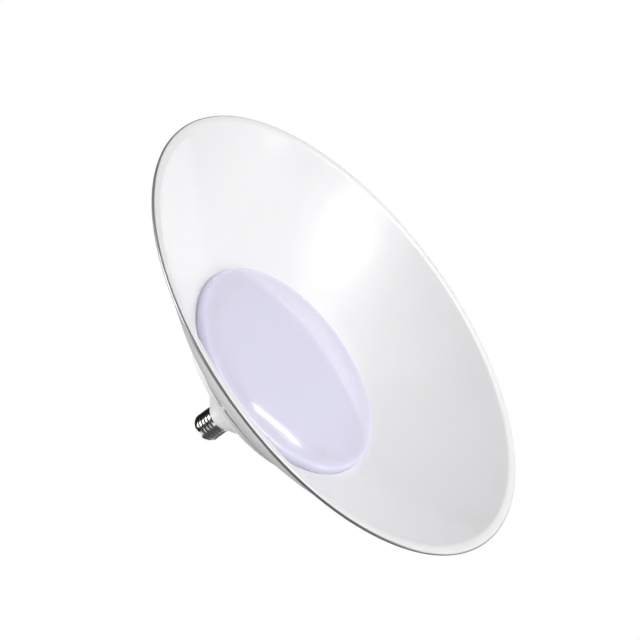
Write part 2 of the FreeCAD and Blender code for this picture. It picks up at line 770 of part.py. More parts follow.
def lead(label, radius, bend, *points):
    """An insulated wire along straight runs joined by tangent arcs."""
    spots = [vector(*(value(size) for size in point)) for point in points]
    edges, start = [], spots[0]
    for before, corner, after in zip(spots, spots[1:], spots[2:]):
        back, onward = (before - corner).normalize(), (after - corner).normalize()
        half_angle = back.getAngle(onward) / 2
        entry = corner + back * (bend / math.tan(half_angle))
        leave = corner + onward * (bend / math.tan(half_angle))
        middle = corner + (back + onward).normalize() * (bend / math.sin(half_angle) - bend)
        edges.append(Part.LineSegment(start, entry).toShape())
        edges.append(Part.Arc(entry, middle, leave).toShape())
        start = leave
    edges.append(Part.LineSegment(start, spots[-1]).toShape())
    path = Part.Wire(edges)
    section = Part.Wire(Part.Circle(spots[0], spots[1] - spots[0], radius).toShape())
    tube = path.makePipeShell([section], True, True)
    expected = math.pi * radius**2 * path.Length
    if abs(tube.Volume - expected) > 0.02 * expected:
        raise RuntimeError(f"{label} has a volume of {tube.Volume}, not {expected}")
    feature = doc.addObject("Part::Feature", label)
    feature.Shape = tube
    feature.Label = label
    return feature


def leads():
    """Wires from the cap to the driver board and from there to the LED board, in the cap seat's frame."""
    pad = f"{DRIVER_TOP} - collar_height"
    turn = f"{pad} + lead_turn_rise"
    slope_end = f"{pad} + 4 * lead_bend"
    live = ("lead_pad_x", "lead_pad_y")
    neutral = ("neutral_x", "lead_pad_y")
    radius, bend = value("lead_radius"), value("lead_bend")
    yield lead("live_lead", radius, bend,
               ("0", "0", "insulator_top"), ("0", "0", turn), (*live, slope_end), (*live, pad))
    over_rim = "spigot_height + 1.5 * lead_radius"
    yield lead("neutral_lead", radius, radius * 2,
               (f"-{SHELL_BORE} + part_gap", "0", over_rim), ("neutral_x", "0", over_rim),
               ("neutral_x", "0", turn), (*neutral, slope_end), (*neutral, pad))
    driver = f"{DRIVER_BOTTOM} - collar_height"
    terminal = f"{LED_BOARD_BOTTOM} - terminal_height / 2 - collar_height"
    for name, side in (("positive", ""), ("negative", "-")):
        yield lead(f"{name}_led_lead", value("led_lead_radius"), value("led_lead_bend"),
                   (f"{side}led_lead_place", "0", driver), (f"{side}led_lead_place", "0", terminal),
                   (f"{side}terminal_place", "0", terminal))


def main():
    shade()
    diffuser()
    spacer_ring()
    housing()
    heat_sink()
    led_board()
    leds()
    screws("shade_screws", SHADE_SCREWS, "shade_screw_count", "seat_height",
           "shade_sheet + ring_height + drum_height / 2")
    screws("heat_sink_screws", PLATE_SCREWS, "plate_screw_count", PLATE_BOTTOM,
           "plate_sheet + pilot_depth - screw_radius")
    screws("board_screws", BOARD_SCREWS, "board_screw_count", LED_BOARD_BOTTOM,
           "board_sheet + plate_sheet")
    grommet()
    board_terminals()
    board_supports()
    driver_board()
    for name in ("input_capacitor", "output_capacitor", "choke"):
        can(name)
    for name in ("film_capacitor", "bridge_rectifier", "driver_chip"):
        moulded_block(name)
    lying_disc("varistor", "varistor", "varistor_thickness", "XZ_Plane")
    lying_disc("fuse_resistor", "fuse", "fuse_length", "YZ_Plane")
    transformer()
    screw_shell()
    cap_insulator()
    centre_contact()
    return list(leads())


wires = main()
doc.recompute()
os.makedirs("parts", exist_ok=True)
bodies = [item for item in doc.Objects if item.isDerivedFrom("PartDesign::Body")]
for item in doc.Objects:
    if {"Invalid", "Error"} & set(item.State):
        raise RuntimeError(f"{item.Label} failed: {item.State}")
for item in bodies + wires:
    if item.Shape.isNull() or not item.Shape.isValid():
        raise RuntimeError(f"{item.Label} has no valid shape")
for item in bodies + wires:
    item.Shape.exportStep(f"parts/{item.Label}.step")
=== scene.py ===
import bmesh
import bpy
import math
from mathutils import Matrix, Quaternion, Vector


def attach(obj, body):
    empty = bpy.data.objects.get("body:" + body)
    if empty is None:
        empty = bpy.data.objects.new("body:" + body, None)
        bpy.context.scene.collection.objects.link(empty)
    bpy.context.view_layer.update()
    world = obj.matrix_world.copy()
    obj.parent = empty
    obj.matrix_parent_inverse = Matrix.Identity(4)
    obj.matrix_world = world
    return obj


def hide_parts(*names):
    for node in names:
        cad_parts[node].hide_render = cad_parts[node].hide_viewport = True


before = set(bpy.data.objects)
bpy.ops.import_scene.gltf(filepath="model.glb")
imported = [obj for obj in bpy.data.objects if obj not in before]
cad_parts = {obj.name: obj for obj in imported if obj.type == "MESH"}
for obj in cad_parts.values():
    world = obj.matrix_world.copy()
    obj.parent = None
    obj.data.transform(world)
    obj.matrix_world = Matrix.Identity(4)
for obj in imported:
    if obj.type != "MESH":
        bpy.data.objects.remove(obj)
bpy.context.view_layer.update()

# Heights of the rim and of the floor in metres, where Z = 0 is the seat of the cap.
RIM, FLOOR = -0.1595, -1.15

# The drum's radius, and the heights over the rim of the vent gap's two edges and of the ledge in the
# spacer ring that carries the outer bosses, all in mm.
DRUM, VENT_FOOT, VENT_HEAD, LEDGE = 97, 83.7, 85.5, 82.6

# Steps of a full turn, and the angle in degrees from which an edge is drawn as a crease.
AROUND, CREASE = 256, 35


def above_rim(radius, height):
    """A point of a section, from its radius and its height over the rim, both in mm."""
    return Vector((radius / 1000, 0, RIM + height / 1000))


def above_seat(radius, height):
    """A point of a section of the cap, from its radius and its height over the seat, in mm."""
    return Vector((radius / 1000, 0, height / 1000))


# Sections and turned walls

def start_section(point):
    """A new shape with the first point of a section, which the other calls draw on from."""
    shape = bmesh.new()
    return shape, shape.verts.new(point)


def line_to(shape, tip, *points):
    """Straight lines on from the tip, through all the points."""
    for point in points:
        corner = shape.verts.new(point)
        shape.edges.new((tip, corner))
        tip = corner
    return tip


def sweep_to(shape, tip, centre, degrees, steps):
    """An arc on from the tip, counted from +X towards +Z round its centre."""
    made = bmesh.ops.spin(shape, geom=[tip], cent=centre, axis=(0, -1, 0), dvec=(0, 0, 0),
                          angle=math.radians(degrees), steps=steps, use_merge=False, use_duplicate=False)
    return next(item for item in made["geom_last"] if isinstance(item, bmesh.types.BMVert))


def arc_centre(start, end, radius, outside=False):
    """The centre of an arc of some radius in mm, on the axis's side or outside the lamp."""
    middle, chord = (start + end) / 2, end - start
    rise = math.sqrt((radius / 1000) ** 2 - chord.length_squared / 4)
    across = Vector((chord.z, 0, -chord.x)).normalized()
    centre = middle + across * rise
    return centre if (centre.x > middle.x) == outside else middle - across * rise


def arc_turn(centre, start, end, steps):
    """The degrees and steps of a sweep from start to end."""
    angles = [math.atan2(point.z - centre.z, point.x - centre.x) for point in (start, end)]
    return math.degrees(angles[1] - angles[0]), steps


def round_corner(shape, point, width, segments=4):
    """Rounds the section's corner that lies nearest the point, width in mm."""
    near = min(shape.verts, key=lambda vert: (vert.co - point).length)
    bmesh.ops.bevel(shape, geom=[near], offset=width / 1000, segments=segments, profile=0.5,
                    affect="VERTICES", material=-1)


def turn(shape, steps=AROUND):
    """A full turn of the section about the lamp's own axis."""
    bmesh.ops.spin(shape, geom=list(shape.verts) + list(shape.edges), cent=(0, 0, 0), axis=(0, 0, 1),
                   dvec=(0, 0, 0), angle=math.tau, steps=steps, use_merge=True, use_duplicate=False)
    bmesh.ops.remove_doubles(shape, verts=list(shape.verts), dist=1e-6)
    bmesh.ops.recalc_face_normals(shape, faces=list(shape.faces))


def piece(name, shape, slot, node_name):
    """A finished piece: smooth but for its creases, in its slot's finish, in place of its node."""
    mesh = bpy.data.meshes.new(name)
    shape.to_mesh(mesh)
    shape.free()
    mesh.shade_smooth()
    mesh.set_sharp_from_angle(angle=math.radians(CREASE))
    mesh.materials.append(FINISHES[slot])
    item = bpy.data.objects.new(name, mesh)
    bpy.context.scene.collection.objects.link(item)
    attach(item, "root")
    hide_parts(node_name)
    return item


def sheet(item, thickness, offset, even=False):
    """Gives the turned middle or face of a sheet its thickness, in mm."""
    wall = item.modifiers.new("sheet", "SOLIDIFY")
    wall.thickness = thickness / 1000
    wall.offset = offset
    wall.use_even_offset = even


def ring_of(shape, count, make):
    """Equal copies round the axis of what make adds at angle 0."""
    for index in range(count):
        made = make(shape)
        bmesh.ops.rotate(shape, verts=made, cent=(0, 0, 0),
                         matrix=Matrix.Rotation(math.tau * index / count, 3, "Z"))


def block(shape, low, high, width, edge=0.15):
    """A block with softened edges between two section corners, width and edge in mm."""
    made = bmesh.ops.create_cube(shape, size=1)["verts"]
    size = Vector((high.x - low.x, width / 1000, high.z - low.z))
    bmesh.ops.scale(shape, verts=made, vec=size)
    bmesh.ops.translate(shape, verts=made, vec=(low + high) / 2)
    edges = list({line for vert in made for line in vert.link_edges})
    rounded = bmesh.ops.bevel(shape, geom=edges, offset=edge / 1000, segments=2, profile=0.5,
                              affect="EDGES", material=-1)
    return list({vert for face in rounded["faces"] for vert in face.verts}
                | {vert for vert in made if vert.is_valid})


# Node groups that several finishes share

def group(name, inputs, outputs):
    """An empty node group with its sockets, each with a name, a kind and an input's own value."""
    tree = bpy.data.node_groups.new(name, "ShaderNodeTree")
    for label, kind, default in inputs:
        socket = tree.interface.new_socket(label, in_out="INPUT", socket_type=f"NodeSocket{kind}")
        if default is not None:
            socket.default_value = default
    for label, kind in outputs:
        tree.interface.new_socket(label, in_out="OUTPUT", socket_type=f"NodeSocket{kind}")
    return tree, tree.nodes.new("NodeGroupInput"), tree.nodes.new("NodeGroupOutput")


def node(tree, kind, inputs=None, **settings):
    """A shader node with its settings, and its inputs linked or set."""
    made = tree.nodes.new(f"ShaderNode{kind}")
    for name, setting in settings.items():
        setattr(made, name, setting)
    for name, source in (inputs or {}).items():
        socket = made.inputs[name]
        if isinstance(source, bpy.types.NodeSocket):
            tree.links.new(source, socket)
        else:
            socket.default_value = source
    return made


def mixed(tree, factor, first, second):
    """The colour first, going over to second where the factor is 1."""
    mix = node(tree, "Mix", data_type="RGBA")
    tree.links.new(factor, mix.inputs[0])
    tree.links.new(first, mix.inputs[6])
    mix.inputs[7].default_value = second
    return mix.outputs[2]


def noise(tree, vector, scale, detail=3.0, roughness=0.5):
    return node(tree, "TexNoise", {"Vector": vector, "Scale": scale, "Detail": detail,
                                   "Roughness": roughness}).outputs["Fac"]


def between(tree, source, low, high):
    """The source's middle range, spread over low to high, and on past them without an edge."""
    return node(tree, "MapRange", {"Value": source, "From Min": 0.3, "From Max": 0.7,
                                   "To Min": low, "To Max": high}, clamp=False).outputs["Result"]


def uneven_group():
    """Slow changes of tone and gloss over a surface, as handling and moulding leave them."""
    tree, given, result = group("uneven_surface",
                                [("Vector", "Vector", None), ("Scale", "Float", 20.0),
                                 ("Tone", "Color", (0.8, 0.8, 0.8, 1)), ("Tone Change", "Float", 0.03),
                                 ("Roughness", "Float", 0.4), ("Roughness Change", "Float", 0.08)],
                                [("Color", "Color"), ("Roughness", "Float")])
    cloud = noise(tree, given.outputs["Vector"], given.outputs["Scale"], 4.0, 0.6)
    shift = node(tree, "Math", {0: between(tree, cloud, -1.0, 1.0), 1: given.outputs["Tone Change"]},
                 operation="MULTIPLY").outputs[0]
    level = node(tree, "Math", {0: shift, 1: 1.0}, operation="ADD").outputs[0]
    tone = node(tree, "VectorMath", {0: given.outputs["Tone"], "Scale": level}, operation="SCALE")
    finer = node(tree, "Math", {0: given.outputs["Scale"], 1: 3.7}, operation="MULTIPLY").outputs[0]
    rub = noise(tree, given.outputs["Vector"], finer, 5.0, 0.65)
    swing = node(tree, "Math", {0: between(tree, rub, -1.0, 1.0), 1: given.outputs["Roughness Change"]},
                 operation="MULTIPLY").outputs[0]
    gloss = node(tree, "Math", {0: given.outputs["Roughness"], 1: swing}, operation="ADD", use_clamp=True)
    tree.links.new(tone.outputs["Vector"], result.inputs["Color"])
    tree.links.new(gloss.outputs[0], result.inputs["Roughness"])
    return tree


def grain_group():
    """Fine relief: orange peel of enamel, or the spark grain of a mould."""
    tree, given, result = group("fine_grain",
                                [("Vector", "Vector", None), ("Scale", "Float", 800.0),
                                 ("Softness", "Float", 0.5)],
                                [("Height", "Float")])
    broad = noise(tree, given.outputs["Vector"], given.outputs["Scale"], 2.0, 0.4)
    double = node(tree, "Math", {0: given.outputs["Scale"], 1: 2.6}, operation="MULTIPLY").outputs[0]
    fine = noise(tree, given.outputs["Vector"], double, 1.0, 0.5)
    mix = node(tree, "Mix", {0: given.outputs["Softness"], 2: fine, 3: broad}, data_type="FLOAT")
    tree.links.new(mix.outputs[0], result.inputs["Height"])
    return tree


def spun_lines_group():
    """Faint rings that turning or spinning leaves, round the lamp's axis."""
    tree, given, result = group("spun_lines",
                                [("Vector", "Vector", None), ("Scale", "Float", 900.0),
                                 ("Waver", "Float", 0.15)],
                                [("Height", "Float")])
    parts = node(tree, "SeparateXYZ", {0: given.outputs["Vector"]})
    flat = node(tree, "CombineXYZ", {"X": parts.outputs["X"], "Y": parts.outputs["Y"]})
    radius = node(tree, "VectorMath", {0: flat.outputs[0]}, operation="LENGTH").outputs["Value"]
    sway = node(tree, "Math", {0: noise(tree, given.outputs["Vector"], 9.0), 1: given.outputs["Waver"]},
                operation="MULTIPLY").outputs[0]
    place = node(tree, "CombineXYZ", {"X": radius, "Y": sway, "Z": parts.outputs["Z"]})
    lines = noise(tree, place.outputs[0], given.outputs["Scale"], 2.0, 0.6)
    tree.links.new(lines, result.inputs["Height"])
    return tree


def specks_group():
    """Sparse specks of dust or moulding flecks, 1 where a speck lies."""
    tree, given, result = group("dust_specks",
                                [("Vector", "Vector", None), ("Scale", "Float", 220.0),
                                 ("Size", "Float", 0.05)],
                                [("Mask", "Float")])
    cells = node(tree, "TexVoronoi", {"Vector": given.outputs["Vector"],
                                      "Scale": given.outputs["Scale"]})
    dot = node(tree, "Math", {0: cells.outputs["Distance"], 1: given.outputs["Size"]},
               operation="LESS_THAN").outputs[0]
    chance = node(tree, "SeparateColor", {0: cells.outputs["Color"]}).outputs[0]
    rare = node(tree, "Math", {0: chance, 1: 0.12}, operation="LESS_THAN").outputs[0]
    mask = node(tree, "Math", {0: dot, 1: rare}, operation="MULTIPLY")
    tree.links.new(mask.outputs[0], result.inputs["Mask"])
    return tree


UNEVEN = uneven_group()
GRAIN = grain_group()
SPUN = spun_lines_group()
SPECKS = specks_group()


def finish(name, tone, tone_change, roughness, roughness_change, scale, *, grain_depth, grain=0.0,
           spun=0.0, specks=0.0, metallic=0.0, **sockets):
    """A finish with an uneven tone and gloss, fine relief, and flecks where it has them."""
    material = bpy.data.materials.new(name)
    material.use_nodes = True
    tree = material.node_tree
    shader = tree.nodes["Principled BSDF"]
    place = tree.nodes.new("ShaderNodeTexCoord").outputs["Object"]
    uneven = node(tree, "Group", node_tree=UNEVEN)
    for socket, setting in (("Scale", scale), ("Tone", (*tone, 1)), ("Tone Change", tone_change),
                            ("Roughness", roughness), ("Roughness Change", roughness_change)):
        uneven.inputs[socket].default_value = setting
    tree.links.new(place, uneven.inputs["Vector"])
    colour = uneven.outputs["Color"]
    if specks:
        flecks = node(tree, "Group", node_tree=SPECKS)
        flecks.inputs["Size"].default_value = specks
        tree.links.new(place, flecks.inputs["Vector"])
        darker = tuple(channel * 0.55 for channel in tone)
        colour = mixed(tree, flecks.outputs["Mask"], colour, (*darker, 1))
    tree.links.new(colour, shader.inputs["Base Color"])
    tree.links.new(uneven.outputs["Roughness"], shader.inputs["Roughness"])
    relief = node(tree, "Group", node_tree=SPUN if spun else GRAIN)
    relief.inputs["Scale"].default_value = spun or grain
    tree.links.new(place, relief.inputs["Vector"])
    bump = node(tree, "Bump", {"Height": relief.outputs["Height"], "Strength": grain_depth,
                               "Distance": 0.0002})
    tree.links.new(bump.outputs["Normal"], shader.inputs["Normal"])
    shader.inputs["Metallic"].default_value = metallic
    # Named sockets have a _ where the shader's own names have a space.
    for socket, setting in sockets.items():
        shader.inputs[socket.replace("_", " ")].default_value = setting
    return material


def painted_edge_shade_group():
    """1 on the outermost part of the rolled edge, where a band of painted shade goes."""
    tree, given, result = group("painted_edge_shade", [("Vector", "Vector", None)], [("Mask", "Float")])
    parts = node(tree, "SeparateXYZ", {0: given.outputs["Vector"]})
    flat = node(tree, "CombineXYZ", {"X": parts.outputs["X"], "Y": parts.outputs["Y"]})
    radius = node(tree, "VectorMath", {0: flat.outputs[0]}, operation="LENGTH").outputs["Value"]
    mask = node(tree, "MapRange", {"Value": radius, "From Min": 0.2036, "From Max": 0.2043})
    tree.links.new(mask.outputs["Result"], result.inputs["Mask"])
    return tree


def add_painted_edge_shade(material):
    """Painted shade on the rolled edge: a dark grey band, half metallic, standing for the dark line of
    shade along its outside.
    """
    tree = material.node_tree
    shader = tree.nodes["Principled BSDF"]
    edge = node(tree, "Group", node_tree=painted_edge_shade_group())
    tree.links.new(node(tree, "TexCoord").outputs["Object"], edge.inputs["Vector"])
    mask = edge.outputs["Mask"]
    paint = shader.inputs["Base Color"].links[0].from_socket
    # Painted shade: the band's colour is darkened to grey in place of the shade along the roll.
    tree.links.new(mixed(tree, mask, paint, (0.38, 0.38, 0.39, 1)), shader.inputs["Base Color"])
    metal = node(tree, "Math", {0: mask, 1: 0.5}, operation="MULTIPLY").outputs[0]
    tree.links.new(metal, shader.inputs["Metallic"])


# Each finish has its name, tone, change of tone, roughness, change of roughness and scale, and then
# its relief, metal, specks and the shader's own sockets.
FINISHES = {
    "shade_paint": finish("white_enamel", (0.86, 0.86, 0.865), 0.006, 0.37, 0.02, 9.0, grain=420.0,
                          grain_depth=0.02, Coat_Weight=0.42, Coat_Roughness=0.1),
    "white_plastic": finish("white_moulding", (0.765, 0.765, 0.77), 0.012, 0.42, 0.06, 14.0, grain=1500.0,
                            grain_depth=0.08),
    "opal_plastic": finish("opal_plastic", (0.728, 0.713, 0.897), 0.006, 0.07, 0.012, 11.0, grain=300.0,
                           grain_depth=0.01, Specular_IOR_Level=0.35, Subsurface_Weight=0.6,
                           Subsurface_Scale=0.006, Subsurface_Radius=(1, 1, 1)),
    "nickel": finish("nickel_plate", (0.54, 0.53, 0.51), 0.05, 0.15, 0.03, 60.0, grain=2600.0,
                     grain_depth=0.08, metallic=1.0),
    "dark_insulator": finish("black_glass_insulator", (0.025, 0.023, 0.03), 0.2, 0.18, 0.06, 90.0,
                             grain=900.0, grain_depth=0.06),
    "solder_metal": finish("tinned_contact", (0.62, 0.61, 0.58), 0.08, 0.34, 0.1, 150.0, grain=900.0,
                           grain_depth=0.25, metallic=1.0),
    "aluminium": finish("pressed_aluminium", (0.72, 0.73, 0.74), 0.04, 0.33, 0.08, 24.0, spun=1100.0,
                        grain_depth=0.18, metallic=1.0),
    "white_board": finish("white_solder_mask", (0.78, 0.79, 0.77), 0.02, 0.36, 0.05, 40.0, grain=1800.0,
                          grain_depth=0.06, specks=0.03),
    "phosphor": finish("led_phosphor", (0.84, 0.70, 0.16), 0.06, 0.5, 0.08, 400.0, grain=3000.0,
                       grain_depth=0.1),
    "screw_steel": finish("zinc_steel", (0.60, 0.61, 0.63), 0.08, 0.3, 0.1, 220.0, grain=1500.0,
                          grain_depth=0.12, metallic=1.0),
    "black_rubber": finish("black_rubber", (0.03, 0.03, 0.032), 0.15, 0.72, 0.1, 120.0, grain=2200.0,
                           grain_depth=0.3),
    "nylon": finish("natural_nylon", (0.72, 0.70, 0.64), 0.03, 0.45, 0.06, 120.0, grain=2000.0,
                    grain_depth=0.1),
    "circuit_board": finish("driver_circuit_board", (0.05, 0.22, 0.09), 0.12, 0.35, 0.08, 70.0,
                            grain=1400.0, grain_depth=0.12, specks=0.06),
    "black_sleeve": finish("shrink_sleeve", (0.035, 0.035, 0.045), 0.12, 0.3, 0.06, 160.0, grain=1200.0,
                           grain_depth=0.08),
    "yellow_case": finish("yellow_moulded_case", (0.78, 0.55, 0.08), 0.05, 0.4, 0.07, 150.0, grain=1700.0,
                          grain_depth=0.1),
    "black_mould": finish("epoxy_mould", (0.04, 0.04, 0.042), 0.12, 0.5, 0.08, 200.0, grain=2400.0,
                          grain_depth=0.16),
    "blue_coating": finish("dipped_blue_coating", (0.05, 0.17, 0.45), 0.1, 0.38, 0.08, 180.0, grain=900.0,
                           grain_depth=0.2),
    "white_ceramic": finish("white_ceramic", (0.76, 0.75, 0.71), 0.04, 0.6, 0.08, 200.0, grain=2400.0,
                            grain_depth=0.2),
    "ferrite": finish("sintered_ferrite", (0.07, 0.07, 0.075), 0.15, 0.62, 0.08, 220.0, grain=2600.0,
                      grain_depth=0.22),
    "yellow_tape": finish("winding_tape", (0.75, 0.60, 0.14), 0.05, 0.3, 0.07, 120.0, grain=700.0,
                          grain_depth=0.16),
    "brown_sleeve": finish("brown_wire_sleeve", (0.17, 0.08, 0.045), 0.1, 0.42, 0.06, 150.0, grain=1500.0,
                           grain_depth=0.1),
    "blue_sleeve": finish("blue_wire_sleeve", (0.06, 0.15, 0.42), 0.1, 0.42, 0.06, 150.0, grain=1500.0,
                          grain_depth=0.1),
    "red_sleeve": finish("red_wire_sleeve", (0.50, 0.04, 0.035), 0.1, 0.42, 0.06, 150.0, grain=1500.0,
                         grain_depth=0.1),
    "black_wire": finish("black_wire_sleeve", (0.03, 0.03, 0.032), 0.12, 0.42, 0.06, 150.0, grain=1500.0,
                         grain_depth=0.1),
}

# The lamp shade's enamel gets a band of painted shade on its rolled edge.
add_painted_edge_shade(FINISHES["shade_paint"])

# Every CAD node wears the finish of its slot, and those that show are replaced further on.
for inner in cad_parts.values():
    for place in inner.material_slots:
        place.material = FINISHES[place.material.name]


# The shade: one spun sheet, from the hole in its seat to its rolled edge

def shade():
    """The middle of the sheet: seat, bowed wall, slightly hollow lip and the roll at its end."""
    gauge, roll, bow = 1, 1, 352.5
    hole, seat, lip = 85, 78.3, 203.4
    throat, crease, foot = above_rim(99.5, seat), above_rim(197.25, 1.9), above_rim(lip, gauge / 2)
    wall_centre = arc_centre(crease, throat, bow)
    lip_centre = above_rim(lip, 14.72)
    roll_centre = above_rim(lip, gauge / 2 + roll)
    tucked_end = above_rim(201.6, gauge / 2 + 2 * roll)
    shape, tip = start_section(above_rim(hole, seat))
    tip = line_to(shape, tip, throat)
    tip = sweep_to(shape, tip, wall_centre, *arc_turn(wall_centre, tip.co, crease, 40))
    tip = sweep_to(shape, tip, lip_centre, *arc_turn(lip_centre, tip.co, foot, 8))
    tip = sweep_to(shape, tip, roll_centre, 180, 12)
    line_to(shape, tip, tucked_end)
    round_corner(shape, crease, 0.6)
    round_corner(shape, throat, 1.2, 5)
    turn(shape)
    sheet(piece("spun_shade", shape, "shade_paint", "shade"), gauge, 0, even=True)


# The diffuser: a shallow opal dish on six snap legs

def diffuser():
    """A domed face of one radius, its rounded edge and side, and the plain inside."""
    face, depth, foot, edge, corner, wall = 66.2, 70.5, 77.8, 98.2, 4.0, 1.6
    inner_foot, inner_depth, inner_flat = 77.6, 71.6, edge - 7.6
    flat = edge - corner
    rise = depth - face
    crown = (flat ** 2 + rise ** 2) / (2 * rise)
    shape, tip = start_section(above_rim(0, face))
    centre = above_rim(0, face + crown)
    tip = sweep_to(shape, tip, centre, *arc_turn(centre, tip.co, above_rim(flat, depth), 48))
    tip = sweep_to(shape, tip, above_rim(flat, depth + corner), 90, 10)
    line_to(shape, tip, above_rim(edge, foot), above_rim(edge - wall, foot),
            above_rim(edge - wall, inner_foot), above_rim(inner_flat, inner_depth),
            above_rim(0, face + wall))
    turn(shape, 192)
    ring_of(shape, 6, snap_leg)
    piece("opal_diffuser", shape, "opal_plastic", "diffuser")


def snap_leg(shape):
    """A leg through the hole of the seat, with its barb over the sheet."""
    leg = block(shape, above_rim(82.2, 70.4), above_rim(83.8, 82.2), 10)
    barb = block(shape, above_rim(83.6, 79.0), above_rim(85.7, 80.4), 10)
    return leg + barb


# Spacer ring and housing, with the vent gap between them that the tabs cross

def spacer_ring():
    """The wall of the lower drum with its step, and the flat ring inside it."""
    foot, step, inner = 78.85, 94.5, 88
    shape, first = start_section(above_rim(DRUM, foot))
    tip = line_to(shape, first, above_rim(DRUM, VENT_FOOT), above_rim(step, VENT_FOOT),
                  above_rim(step, LEDGE), above_rim(inner, LEDGE), above_rim(inner, foot))
    shape.edges.new((tip, first))
    for corner in (above_rim(DRUM, foot), above_rim(DRUM, VENT_FOOT), above_rim(inner, LEDGE)):
        round_corner(shape, corner, 0.35, 3)
    turn(shape)
    piece("lower_drum_ring", shape, "white_plastic", "spacer_ring")


def housing():
    """Out along the drum, up the funnel back and the spigot, and down again inside."""
    wall, shoulder, collar_height, collar_edge = 94.6, 88.2, 158.7, 13.2
    spigot, spigot_bore, cap_seat, spigot_head, web = 11.4, 8.8, 159.5, 175.5, 155
    back_foot, collar = above_rim(wall, 90.6), above_rim(14, collar_height)
    inner_foot, inner_head = above_rim(92.2, shoulder), above_rim(14.5, web)
    back = arc_centre(back_foot, collar, 300, outside=True)
    inner = arc_centre(inner_foot, inner_head, 302.4, outside=True)
    shape, first = start_section(above_rim(wall, VENT_HEAD))
    tip = line_to(shape, first, above_rim(DRUM, VENT_HEAD), above_rim(DRUM, shoulder))
    tip = sweep_to(shape, tip, above_rim(wall, shoulder), 90, 8)
    tip = sweep_to(shape, tip, back, *arc_turn(back, tip.co, collar, 48))
    tip = sweep_to(shape, tip, above_rim(collar_edge, collar_height), 65, 4)
    tip = line_to(shape, tip, above_rim(spigot, cap_seat), above_rim(spigot, spigot_head),
                  above_rim(spigot_bore, spigot_head), above_rim(spigot_bore, web), inner_head)
    tip = sweep_to(shape, tip, inner, *arc_turn(inner, tip.co, inner_foot, 32))
    tip = line_to(shape, tip, above_rim(wall, shoulder))
    shape.edges.new((tip, first))
    round_corner(shape, above_rim(DRUM, VENT_HEAD), 0.35, 3)
    turn(shape)
    ring_of(shape, 6, snap_tab)
    ring_of(shape, 3, lambda bosses: screw_boss(bosses, ring=92.5, radius=3.4, foot=LEDGE, head=90.4))
    ring_of(shape, 3, lambda bosses: screw_boss(bosses, ring=67, radius=4.0, foot=86.3, head=103))
    piece("moulded_housing", shape, "white_plastic", "housing")


def snap_tab(shape):
    """A tab that crosses the vent gap, flush with the drum."""
    return block(shape, above_rim(95.6, 80.7), above_rim(DRUM, 86.5), 3, edge=0.2)


def screw_boss(shape, ring, radius, foot, head):
    """A round boss on a ring of some radius, from its foot to its head over the rim, all in mm."""
    made = bmesh.ops.create_cone(shape, cap_ends=True, segments=32, radius1=radius / 1000,
                                 radius2=radius / 1000, depth=(head - foot) / 1000)["verts"]
    bmesh.ops.translate(shape, verts=made, vec=above_rim(ring, (head + foot) / 2))
    return made


# Screw cap: shell with its thread, insulator and centre contact

def screw_shell():
    """A nickel shell with a rounded right-hand thread that fades out at both ends."""
    widest, length, neck, around = 13.1, 18.3, 9.2, 128
    pitch, depth, phase, first, last, fade_length = 3.629, 1.0, 2.2, 1.6, 17.6, 1.6
    shape, tip = start_section(above_seat(widest, 0))
    line_to(shape, tip, above_seat(widest, length))
    bmesh.ops.subdivide_edges(shape, edges=list(shape.edges), cuts=119)
    turn(shape, around)
    for vert in shape.verts:
        height = vert.co.z * 1000
        angle = math.atan2(vert.co.y, vert.co.x)
        fade = (min(max((height - first) / fade_length, 0), 1)
                * min(max((last - height) / fade_length, 0), 1))
        fade = fade * fade * (3 - 2 * fade)
        dip = (0.5 - 0.5 * math.cos(math.tau * (height - phase) / pitch - angle)) ** 0.85
        radius = widest - depth * dip * fade
        vert.co.x, vert.co.y = math.cos(angle) * radius / 1000, math.sin(angle) * radius / 1000
    top, top_tip = start_section(above_seat(widest, length))
    top_tip = sweep_to(top, top_tip, above_seat(8.93, 18.8), 79, 10)
    line_to(top, top_tip, above_seat(neck, 22.3), above_seat(neck, 21.7))
    turn(top, around)
    spare = bpy.data.meshes.new("shell_top")
    top.to_mesh(spare)
    top.free()
    shape.from_mesh(spare)
    bpy.data.meshes.remove(spare)
    bmesh.ops.remove_doubles(shape, verts=list(shape.verts), dist=1e-6)
    bmesh.ops.recalc_face_normals(shape, faces=list(shape.faces))
    sheet(piece("threaded_shell", shape, "nickel", "screw_shell"), 0.3, -1)


def cap_insulator():
    """The dark insulator between the shell and the centre contact, with a hole for the wire."""
    foot, head, bore = 19.7, 25.2, 1.2
    waist, shoulder = above_seat(9.0, 22.5), above_seat(5.2, head)
    shape, first = start_section(above_seat(bore, foot))
    tip = line_to(shape, first, above_seat(9.8, foot), above_seat(9.0, 21.3), waist, shoulder,
                  above_seat(bore, head))
    shape.edges.new((tip, first))
    round_corner(shape, waist, 0.8)
    round_corner(shape, shoulder, 0.5)
    turn(shape, 96)
    piece("black_insulator", shape, "dark_insulator", "cap_insulator")


def centre_contact():
    """A flat foot, and a dome of one radius on it."""
    foot, head, dome, dome_rise = 25.2, 27, 2.4, 0.8
    edge = above_seat(4.8, 25.7)
    shape, tip = start_section(above_seat(0, foot))
    tip = line_to(shape, tip, above_seat(4.8, foot), edge, above_seat(dome, 26.2))
    centre = above_seat(0, head - (dome ** 2 + dome_rise ** 2) / (2 * dome_rise))
    sweep_to(shape, tip, centre, *arc_turn(centre, tip.co, above_seat(0, head), 8))
    round_corner(shape, edge, 0.3, 3)
    turn(shape, 96)
    piece("centre_contact_button", shape, "solder_metal", "centre_contact")


shade()
diffuser()
spacer_ring()
housing()
screw_shell()
cap_insulator()
centre_contact()


# Floor, light and camera

